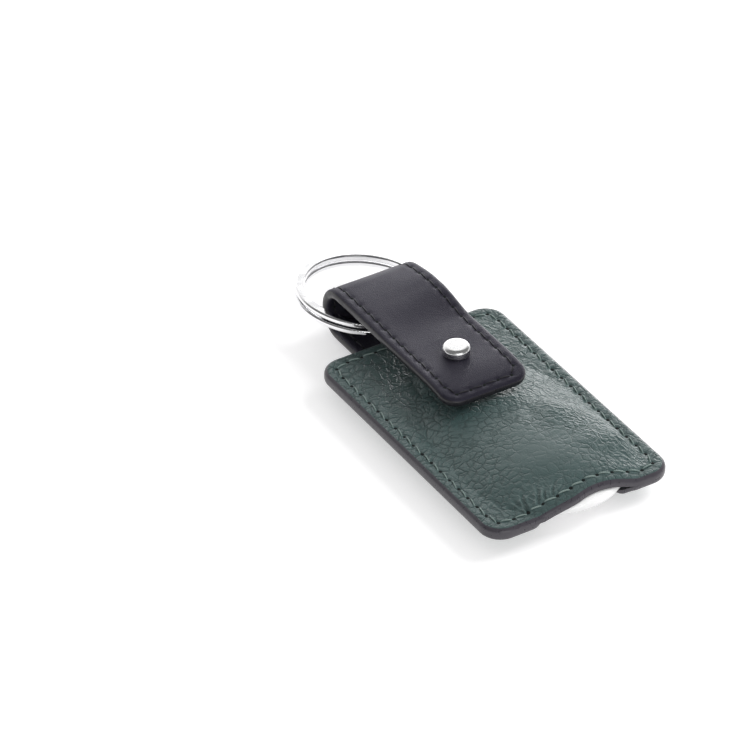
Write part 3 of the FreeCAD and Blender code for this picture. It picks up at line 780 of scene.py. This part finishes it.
for piece, node_name, slot_name in (
    (front, "front_panel", "pouch_leather"),
    (back, "back_panel", "pouch_leather"),
    (front_cloth, "front_lining", "lining"),
    (back_cloth, "back_lining", "lining"),
):
    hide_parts(node_name)
    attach(piece, "pouch")
for piece, pattern in ((front, front_pattern), (back, back_pattern)):
    paint_attribute(piece, "grain", grain_depth(*pattern.points.T))
    paint_attribute(piece, "folds", fold_share(*pattern.points.T, pattern.depth))
# Only the front's fold lips get the painted highlight.
paint_attribute(front, "ridge_highlight", painted_ridge_highlights(*front_pattern.points.T))

# Strap: one continuous piece from its anchor on the back, round the loop, to the flap's tip
tip_turn = math.asin(TIP_RUN / TIP_BEND_RADIUS)
back_run = LOOP_Y - STRAP_ANCHOR
loop_run = math.pi * LOOP_RADIUS
flap_run = LOOP_Y - TIP_BEND_START
strap_length = back_run + loop_run + flap_run + TIP_BEND_RADIUS * tip_turn


def on_strap(flat, inward):
    """Where a point of the flat strap lies, at a depth below its outer face.

    The strap arches and leans over the ring.
    """
    across, along = -flat[:, 0], flat[:, 1]
    in_loop = np.clip(along - back_run, 0, loop_run) / LOOP_RADIUS
    in_tip = np.maximum(along - back_run - loop_run - flap_run, 0) / TIP_BEND_RADIUS
    angle = in_loop - math.pi / 2
    turning = along > back_run
    y = np.where(turning, LOOP_Y + LOOP_RADIUS * np.cos(angle), STRAP_ANCHOR + along)
    z = np.where(turning, LOOP_Z + LOOP_RADIUS * np.sin(angle), STRAP_BOTTOM)
    y = y - np.clip(along - back_run - loop_run, 0, flap_run)
    tip = in_tip > 0
    y = np.where(tip, TIP_BEND_START - TIP_BEND_RADIUS * np.sin(in_tip), y)
    z = np.where(tip, FLAP_TOP - TIP_BEND_RADIUS * (1 - np.cos(in_tip)), z)
    facing = angle + in_tip
    rising = smooth_step((y - ARCH_START) / ARCH_RISE)
    falling = smooth_step((LOOP_Y + LOOP_RADIUS - y) / ARCH_FALL)
    over_ring = np.where(angle > 0, rising * falling, 0)
    z = z + over_ring * (STRAP_ARCH + STRAP_ROLL * across / STRAP_HALF_WIDTH)
    return np.column_stack([across, y - inward * np.cos(facing), z - inward * np.sin(facing)])


strap_outline = strap_pattern(strap_length)
strap_flat = Pattern(strap_outline, step=0.5, spacing=0.55)
strap_holes = needle_holes(strap_outline, STRAP_STITCH_INSET, STRAP_STITCH_PITCH)
strap_dent = -needle_dents(*strap_flat.points.T, strap_flat.depth, strap_holes, STRAP_STITCH_INSET)
rounded = edge_drop(strap_flat.depth, STRAP_EDGE_RADIUS)
strap = closed_sheet(
    "strap_leather", strap_flat,
    on_strap(strap_flat.points, rounded + strap_dent),
    on_strap(strap_flat.points, STRAP_THICKNESS - rounded - INSIDE_DENT_SHARE * strap_dent),
    [BLACK, BLACK_PAINT], STRAP_PAINTED)
flat_uv = strap.data.uv_layers.new(name="flat")
corner_vertex = np.empty(len(strap.data.loops), np.int32)
strap.data.loops.foreach_get("vertex_index", corner_vertex)
vertex_uv = np.tile(strap_flat.points, (2, 1)) * MM
flat_uv.data.foreach_set("uv", vertex_uv[corner_vertex].astype(np.float32).ravel())
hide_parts("strap_back_face", "strap_back_lining", "strap_flap_face", "strap_flap_lining")

# Sewing
TURNS = [2 * math.pi * side / STITCH_SIDES for side in range(STITCH_SIDES)]


def tube_faces(first, rows, inside_out=False):
    """Faces of a closed tube whose points are numbered from first, row by row."""
    faces = []
    for row in range(rows - 1):
        low = first + row * STITCH_SIDES
        for side in range(STITCH_SIDES):
            here, after = low + side, low + (side + 1) % STITCH_SIDES
            if inside_out:
                here, after = after, here
            faces.append((here, after, after + STITCH_SIDES, here + STITCH_SIDES))
    last = first + (rows - 1) * STITCH_SIDES
    start, end = (last, first) if inside_out else (first, last)
    faces.append(tuple(reversed(range(start, start + STITCH_SIDES))))
    faces.append(tuple(range(end, end + STITCH_SIDES)))
    return faces


def stitches(name, holes, seat, thread_material, lift, radius, slant):
    """Short threads from hole to hole, each lying a little aslant, and a near-black mark at each needle
    hole, which is painted shade for the hole's inside.
    """
    following = np.roll(holes, -1, axis=0)
    ahead = following - holes
    ahead /= np.linalg.norm(ahead, axis=1)[:, None]
    aside = np.stack([-ahead[:, 1], ahead[:, 0]], axis=1)
    shares = np.linspace(0, 1, STITCH_STATIONS)
    arch = lift * (1 - (2 * shares - 1) ** STITCH_SQUARENESS) - radius * THREAD_SUNK
    thick = radius * (THREAD_ENDS + (1 - THREAD_ENDS) * np.sin(np.pi * shares))
    vertices, faces, slots = [], [], []
    for hole, next_hole, forward, sideways in zip(holes, following, ahead, aside):
        lean = slant * rng.uniform(*LEAN_SPREAD)
        start = hole + sideways * lean + forward * STITCH_CLEAR
        end = next_hole - sideways * lean - forward * STITCH_CLEAR
        thread_faces = tube_faces(len(vertices), STITCH_STATIONS)
        for share, middle_height, thickness in zip(shares, arch, thick):
            for turn in TURNS:
                point = start + (end - start) * share + sideways * (thickness * math.cos(turn))
                vertices.append((*point, middle_height + thickness * math.sin(turn)))
        mark_faces = tube_faces(len(vertices), len(HOLE_RINGS), inside_out=True)
        for ring, height in HOLE_RINGS:
            for turn in TURNS:
                around = math.cos(turn) * sideways + HOLE_STRETCH * math.sin(turn) * forward
                vertices.append((*(hole + ring * around), height))
        faces += thread_faces + mark_faces
        slots += [0] * len(thread_faces) + [1] * len(mark_faces)
    vertices = np.array(vertices)
    placed = seat(vertices[:, :2], vertices[:, 2])
    return new_object(name, placed, faces, [thread_material, HOLE_SHADE], slots)


def on_front(flat, above):
    return stacked(flat, SEAM_Z + PANEL + front_swell(*flat.T) - HOLE_SINK + above)


def on_back(flat, above):
    height = np.maximum(SEAM_Z - PANEL - back_swell(*flat.T), 0.0)
    return stacked(flat, np.maximum(height + HOLE_SINK - above, 0.0))


def on_strap_outside(flat, above):
    return on_strap(flat, HOLE_SINK - above)


def on_strap_inside(flat, above):
    return on_strap(flat, STRAP_THICKNESS - INSIDE_DENT_SHARE * HOLE_SINK + above)


front_sewing = stitches(
    "front_stitching", front_holes, on_front, GREEN_THREAD, lift=0.42, radius=0.17, slant=0.30)
back_sewing = stitches(
    "back_stitching", back_holes, on_back, GREEN_THREAD, lift=0.40, radius=0.18, slant=0.26)
for piece in (front_sewing, back_sewing):
    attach(piece, "pouch")
outer_sewing = stitches(
    "strap_stitching_outside", strap_holes, on_strap_outside, BLACK_THREAD,
    lift=0.34, radius=0.18, slant=0.14)
inner_sewing = stitches(
    "strap_stitching_inside", strap_holes, on_strap_inside, BLACK_THREAD,
    lift=0.32, radius=0.18, slant=0.14)

# The strap and its stitching have their placement baked into their meshes.
for piece in (strap, outer_sewing, inner_sewing):
    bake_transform(piece)

# Floor
FLOOR_HALF = 3.0
FLOOR_DROP = 0.00003
FLOOR_GLOW = 0.46
FLOOR_CORNERS = ((-1, -1), (1, -1), (1, 1), (-1, 1))
floor_mesh = bpy.data.meshes.new("floor")
floor_mesh.from_pydata(
    [(x * FLOOR_HALF, y * FLOOR_HALF, -FLOOR_DROP) for x, y in FLOOR_CORNERS], [], [(0, 1, 2, 3)])
floor = bpy.data.objects.new("floor", floor_mesh)
scene.collection.objects.link(floor)


def seen_directly(tree):
    """1 for what the camera sees, straight or in metal and glass, and 0 for what lights the object."""
    path = add(tree, "LightPath")
    seen = path.outputs["Is Camera Ray"]
    for other in ("Is Glossy Ray", "Is Transmission Ray"):
        seen = combined(tree, "MAXIMUM", seen, path.outputs[other])
    return seen


floor_material, floor_tree, floor_shader = new_material("white_floor")
feed(floor_tree, floor_shader, {
    "Base Color": (0.75, 0.745, 0.75),
    "Roughness": 0.9,
    "Specular IOR Level": 0.0,
    "Emission Color": (1, 1, 1),
    "Emission Strength": scaled(floor_tree, seen_directly(floor_tree), FLOOR_GLOW),
})
floor_mesh.materials.append(floor_material)

# World. What gloss and metal mirror of it is bright behind the object, a little to the right and low,
# and darker above and in front.
WORLD_LIGHT = 0.60
BRIGHT_SIDE = (0.25, 0.95, -0.15)
BRIGHT_FROM = 0.22
BRIGHT_TO = 0.68
MIRRORED_LOW = 0.15
MIRRORED_HIGH = 1.0
world = bpy.data.worlds.new("studio")
scene.world = world
world.use_nodes = True
world_tree = world.node_tree
ray_way = add(world_tree, "TexCoord").outputs["Generated"]
heading = add(world_tree, "VectorMath", {0: ray_way, 1: BRIGHT_SIDE}, operation="DOT_PRODUCT")
mirrored = mapped(
    world_tree, heading.outputs["Value"], BRIGHT_FROM, BRIGHT_TO, MIRRORED_LOW, MIRRORED_HIGH)
rays = add(world_tree, "LightPath")
room_inputs = {0: rays.outputs["Is Glossy Ray"], 2: WORLD_LIGHT, 3: mirrored}
room = add(world_tree, "Mix", room_inputs, data_type="FLOAT").outputs[0]
feed(world_tree, world_tree.nodes["Background"], {
    "Color": (1, 1, 1),
    "Strength": combined(world_tree, "MAXIMUM", rays.outputs["Is Camera Ray"], room),
})

# Lamps
LAMP_TARGET = Vector((0.0, 0.03, 0.0))


def lamp(name, place, width, height, power, in_gloss=True):
    data = bpy.data.lights.new(name, "AREA")
    data.shape = "RECTANGLE"
    data.size = width
    data.size_y = height
    data.energy = power
    obj = bpy.data.objects.new(name, data)
    obj.location = place
    obj.rotation_mode = "QUATERNION"
    obj.rotation_quaternion = (LAMP_TARGET - Vector(place)).to_track_quat("-Z", "Y")
    obj.visible_glossy = in_gloss
    scene.collection.objects.link(obj)


lamp("key", (0.60, 0.55, 0.11), width=0.40, height=0.18, power=1.4)
lamp("side_fill", (0.60, -0.02, 0.55), width=0.40, height=0.40, power=3.9, in_gloss=False)
lamp("front_fill", (-0.10, -0.75, 0.25), width=0.60, height=0.40, power=1.6)
lamp("back_rim", (0.30, 0.80, 0.30), width=0.50, height=0.20, power=0.65)

# Camera
AZIMUTH = math.radians(-31.6)
ELEVATION = math.radians(35.9)
CAMERA_TARGET = Vector((-10.69, 49.46, 2.58)) * MM
CAMERA_DISTANCE = 1.0227
SENSOR_WIDTH = 36.0
LENS = 229.06
NEAREST = 0.05
FARTHEST = 20.0
camera_back = Vector((
    math.sin(AZIMUTH) * math.cos(ELEVATION), -math.cos(AZIMUTH) * math.cos(ELEVATION), math.sin(ELEVATION)))
camera_data = bpy.data.cameras.new("camera")
camera_data.sensor_width = SENSOR_WIDTH
camera_data.lens = LENS
camera_data.clip_start = NEAREST
camera_data.clip_end = FARTHEST
camera = bpy.data.objects.new("camera", camera_data)
camera.location = CAMERA_TARGET + camera_back * CAMERA_DISTANCE
camera.rotation_mode = "QUATERNION"
camera.rotation_quaternion = (-camera_back).to_track_quat("-Z", "Y")
scene.collection.objects.link(camera)
scene.camera = camera
scene.view_settings.view_transform = "Standard"
